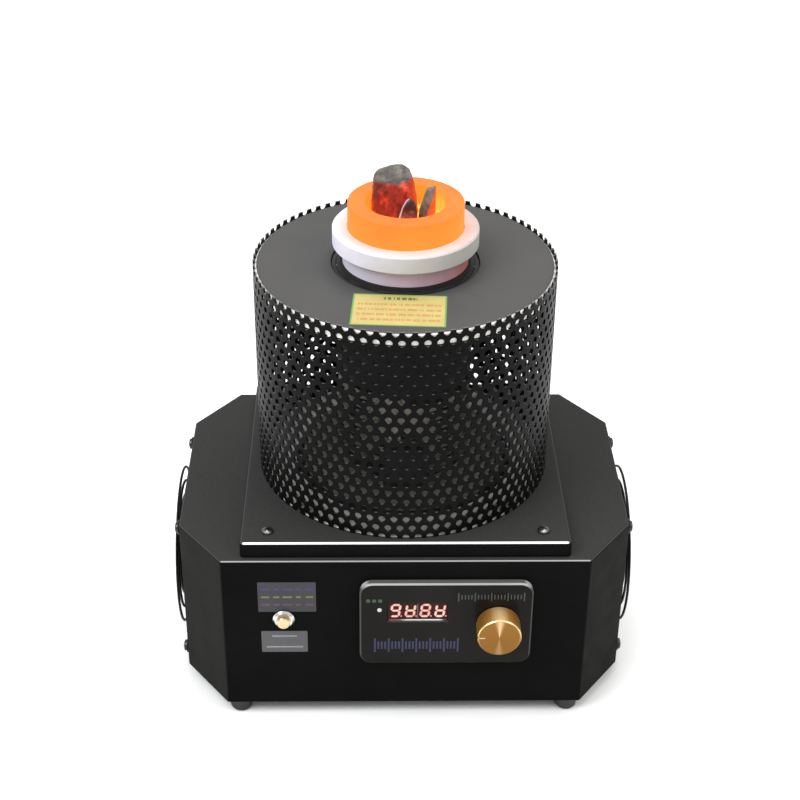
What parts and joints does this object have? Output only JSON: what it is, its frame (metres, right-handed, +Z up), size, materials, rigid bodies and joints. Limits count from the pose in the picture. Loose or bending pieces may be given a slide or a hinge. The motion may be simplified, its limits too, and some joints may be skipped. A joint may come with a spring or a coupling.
{
  "type": "induction melting furnace",
  "caption": "Benchtop furnace for melting gold: perforated drum with a crucible over a black case with readout, power knob, button and side fans.",
  "frame": {"origin": "centre of the whole footprint, on the surface the furnace stands on", "axes": "+Z up, -Y the front with the control panel, +X to the right seen from the front"},
  "size_m": [0.3192, 0.237, 0.364],
  "materials": {
    "case_paint": "satin black powder coat",
    "tray_paint": "satin black powder coat",
    "drum_paint": "satin black powder coat on perforated sheet",
    "cover_paint": "dark grey hammered coat",
    "nickel": "bright nickel plate",
    "zinc": "zinc plated",
    "rubber": "moulded rubber",
    "board_fibre": "pressed ceramic fibre",
    "ceramic_white": "unglazed",
    "tape_black": "woven glass tape",
    "copper": "flat copper strip",
    "fascia": "black, bevelled edge",
    "display": "dark red window",
    "led": "tinted lens",
    "circuit_board": "solder mask",
    "black_plastic": "moulded",
    "brass_knob": "turned, anodised gold",
    "button_face": "turned metal cap",
    "guard_wire": "black dipped steel wire",
    "fan_plastic": "moulded glass-filled plastic",
    "aluminium": "extruded",
    "capacitor_case": "epoxy case",
    "sleeve_ceramic": "fired, unglazed",
    "graphite": "graphite glowing at melting heat",
    "molten_gold": "molten, glowing",
    "raw_gold": "rough lumps",
    "ferrite": "sintered ferrite",
    "brick": "firebrick"
  },
  "bodies": {
    "base": {"base_shell": "case_paint", "bottom_plate": "case_paint", "rubber_feet": "rubber", "foot_screws": "zinc", "floor_screws": "zinc", "drum_tray": "tray_paint", "tray_screws": "nickel", "perforated_drum": "drum_paint", "drum_brackets": "zinc", "top_cover": "cover_paint", "cover_rim": "cover_paint", "insulation_board": "board_fibre", "coil_former": "ceramic_white", "taped_winding": "tape_black", "induction_coil": "copper", "lead_block": "black_plastic", "support_brick": "brick", "control_fascia": "fascia", "left_display": "display", "right_display": "display", "indicator_led": "led", "panel_board": "circuit_board", "panel_standoffs": "zinc", "potentiometer": "zinc", "pot_nut": "nickel", "button_housing": "nickel", "button_nut": "nickel", "left_fan_frame": "fan_plastic", "right_fan_frame": "fan_plastic", "left_fan_guard": "guard_wire", "right_fan_guard": "guard_wire", "fan_screws": "nickel", "power_inlet": "black_plastic", "inlet_pins": "nickel", "inlet_screws": "nickel", "rocker_frame": "black_plastic", "board_standoffs": "zinc", "power_board": "circuit_board", "board_screws": "zinc", "left_heatsink": "aluminium", "right_heatsink": "aluminium", "power_transistors": "black_plastic", "resonant_capacitors": "capacitor_case", "filter_capacitors": "capacitor_case", "choke": "ferrite", "terminal_strip": "black_plastic"},
    "knob": {"power_knob": "brass_knob", "pot_shaft": "zinc"},
    "button": {"heating_button": "button_face"},
    "left_rotor": {"left_fan_rotor": "fan_plastic"},
    "right_rotor": {"right_fan_rotor": "fan_plastic"},
    "sleeve": {"ceramic_sleeve": "sleeve_ceramic"},
    "crucible_cup": {"crucible": "graphite"},
    "charge": {"molten_metal": "molten_gold", "gold_charge": "raw_gold"},
    "rocker": {"rocker_switch": "black_plastic"},
    "drawer": {"fuse_drawer": "black_plastic"}
  },
  "joints": [
    {"name": "knob_turn", "type": "hinge", "parent": "base", "child": "knob", "pos_m": [0.0626, -0.0979, 0.0837], "axis": [0, 1, 0], "range_deg": [-60, 240]},
    {"name": "button_press", "type": "slide", "parent": "base", "child": "button", "axis": [0, 1, 0], "range_m": [0, 0.0025], "stiffness_N_per_m": 400},
    {"name": "left_fan_spin", "type": "hinge", "parent": "base", "child": "left_rotor", "pos_m": [-0.154, 0.0051, 0.0715], "axis": [1, 0, 0], "continuous": true},
    {"name": "right_fan_spin", "type": "hinge", "parent": "base", "child": "right_rotor", "pos_m": [0.154, 0.0051, 0.0715], "axis": [1, 0, 0], "continuous": true},
    {"name": "sleeve_lift", "type": "slide", "parent": "base", "child": "sleeve", "axis": [0, 0, 1], "range_m": [0, 0.12]},
    {"name": "crucible_lift", "type": "slide", "parent": "sleeve", "child": "crucible_cup", "axis": [0, 0, 1], "range_m": [0, 0.13]},
    {"name": "charge_lift", "type": "slide", "parent": "crucible_cup", "child": "charge", "axis": [0, 0, 1], "range_m": [0, 0.13]},
    {"name": "rocker_tilt", "type": "hinge", "parent": "base", "child": "rocker", "pos_m": [-0.018, 0.1116, 0.062], "axis": [-1, 0, 0], "range_deg": [0, 16]},
    {"name": "drawer_pull", "type": "slide", "parent": "base", "child": "drawer", "axis": [0, 1, 0], "range_m": [0, 0.021]}
  ]
}
